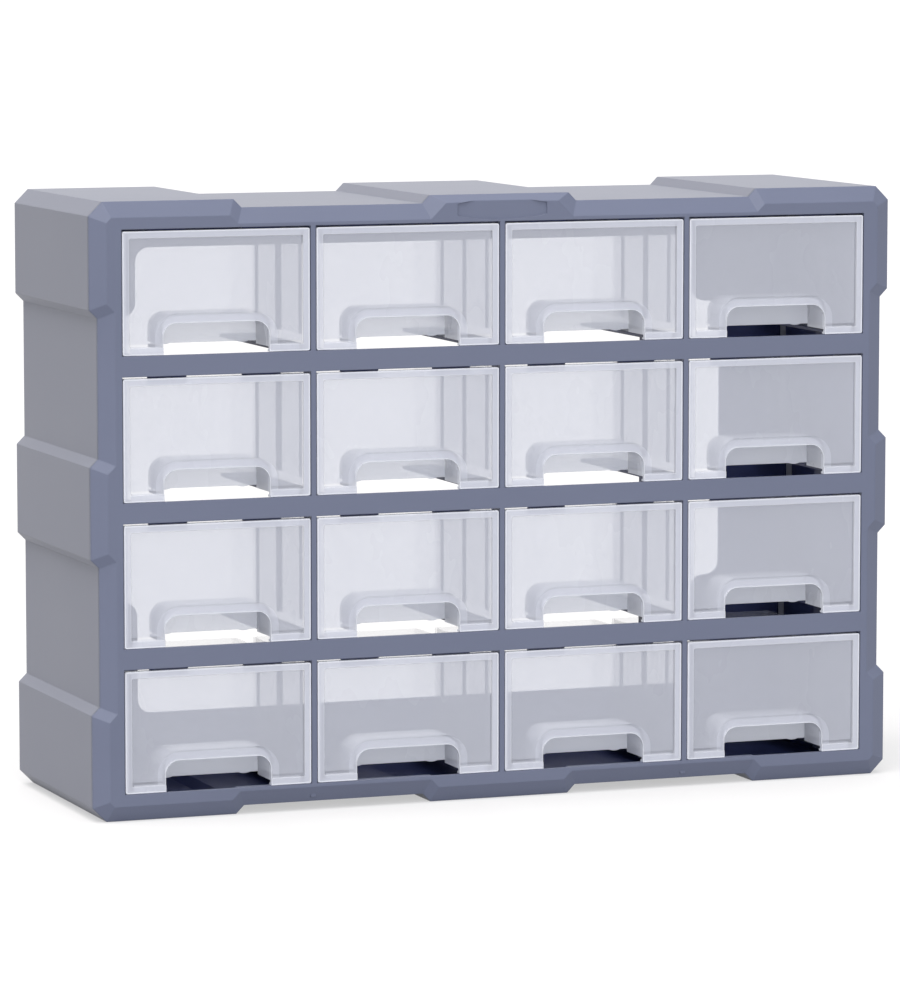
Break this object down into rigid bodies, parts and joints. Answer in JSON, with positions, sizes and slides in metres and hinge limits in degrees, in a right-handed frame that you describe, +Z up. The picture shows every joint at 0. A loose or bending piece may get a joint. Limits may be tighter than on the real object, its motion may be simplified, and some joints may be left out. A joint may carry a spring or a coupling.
{
  "type": "parts bin cabinet",
  "caption": "Wall or bench cabinet for small parts: a grey shell with a bevelled, notched front frame and a grid of clear pull-out bins with finger pulls.",
  "frame": {"origin": "on the ground under the middle of the cabinet's width and depth", "axes": "+X to the right seen from the front, +Y from the front to the rear, +Z up; the drawers open towards -Y"},
  "size_m": [0.52, 0.16, 0.37],
  "materials": {
    "shell": "fine matte texture",
    "frame": "fine matte texture",
    "back": "fine matte texture",
    "screws": "zinc plated",
    "drawer": "milky translucent"
  },
  "bodies": {
    "cabinet": {"housing_shell": "shell", "front_frame": "frame", "back_panel": "back", "corner_screws": "screws"},
    "bin_r1_c1": {"drawer_r1_c1": "drawer"},
    "bin_r1_c2": {"drawer_r1_c2": "drawer"},
    "bin_r1_c3": {"drawer_r1_c3": "drawer"},
    "bin_r1_c4": {"drawer_r1_c4": "drawer"},
    "bin_r2_c1": {"drawer_r2_c1": "drawer"},
    "bin_r2_c2": {"drawer_r2_c2": "drawer"},
    "bin_r2_c3": {"drawer_r2_c3": "drawer"},
    "bin_r2_c4": {"drawer_r2_c4": "drawer"},
    "bin_r3_c1": {"drawer_r3_c1": "drawer"},
    "bin_r3_c2": {"drawer_r3_c2": "drawer"},
    "bin_r3_c3": {"drawer_r3_c3": "drawer"},
    "bin_r3_c4": {"drawer_r3_c4": "drawer"},
    "bin_r4_c1": {"drawer_r4_c1": "drawer"},
    "bin_r4_c2": {"drawer_r4_c2": "drawer"},
    "bin_r4_c3": {"drawer_r4_c3": "drawer"},
    "bin_r4_c4": {"drawer_r4_c4": "drawer"}
  },
  "joints": [
    {"name": "slide_r1_c1", "type": "slide", "parent": "cabinet", "child": "bin_r1_c1", "axis": [0, -1, 0], "range_m": [0, 0.124]},
    {"name": "slide_r1_c2", "type": "slide", "parent": "cabinet", "child": "bin_r1_c2", "axis": [0, -1, 0], "range_m": [0, 0.124]},
    {"name": "slide_r1_c3", "type": "slide", "parent": "cabinet", "child": "bin_r1_c3", "axis": [0, -1, 0], "range_m": [0, 0.124]},
    {"name": "slide_r1_c4", "type": "slide", "parent": "cabinet", "child": "bin_r1_c4", "axis": [0, -1, 0], "range_m": [0, 0.124]},
    {"name": "slide_r2_c1", "type": "slide", "parent": "cabinet", "child": "bin_r2_c1", "axis": [0, -1, 0], "range_m": [0, 0.124]},
    {"name": "slide_r2_c2", "type": "slide", "parent": "cabinet", "child": "bin_r2_c2", "axis": [0, -1, 0], "range_m": [0, 0.124]},
    {"name": "slide_r2_c3", "type": "slide", "parent": "cabinet", "child": "bin_r2_c3", "axis": [0, -1, 0], "range_m": [0, 0.124]},
    {"name": "slide_r2_c4", "type": "slide", "parent": "cabinet", "child": "bin_r2_c4", "axis": [0, -1, 0], "range_m": [0, 0.124]},
    {"name": "slide_r3_c1", "type": "slide", "parent": "cabinet", "child": "bin_r3_c1", "axis": [0, -1, 0], "range_m": [0, 0.124]},
    {"name": "slide_r3_c2", "type": "slide", "parent": "cabinet", "child": "bin_r3_c2", "axis": [0, -1, 0], "range_m": [0, 0.124]},
    {"name": "slide_r3_c3", "type": "slide", "parent": "cabinet", "child": "bin_r3_c3", "axis": [0, -1, 0], "range_m": [0, 0.124]},
    {"name": "slide_r3_c4", "type": "slide", "parent": "cabinet", "child": "bin_r3_c4", "axis": [0, -1, 0], "range_m": [0, 0.124]},
    {"name": "slide_r4_c1", "type": "slide", "parent": "cabinet", "child": "bin_r4_c1", "axis": [0, -1, 0], "range_m": [0, 0.124]},
    {"name": "slide_r4_c2", "type": "slide", "parent": "cabinet", "child": "bin_r4_c2", "axis": [0, -1, 0], "range_m": [0, 0.124]},
    {"name": "slide_r4_c3", "type": "slide", "parent": "cabinet", "child": "bin_r4_c3", "axis": [0, -1, 0], "range_m": [0, 0.124]},
    {"name": "slide_r4_c4", "type": "slide", "parent": "cabinet", "child": "bin_r4_c4", "axis": [0, -1, 0], "range_m": [0, 0.124]}
  ]
}
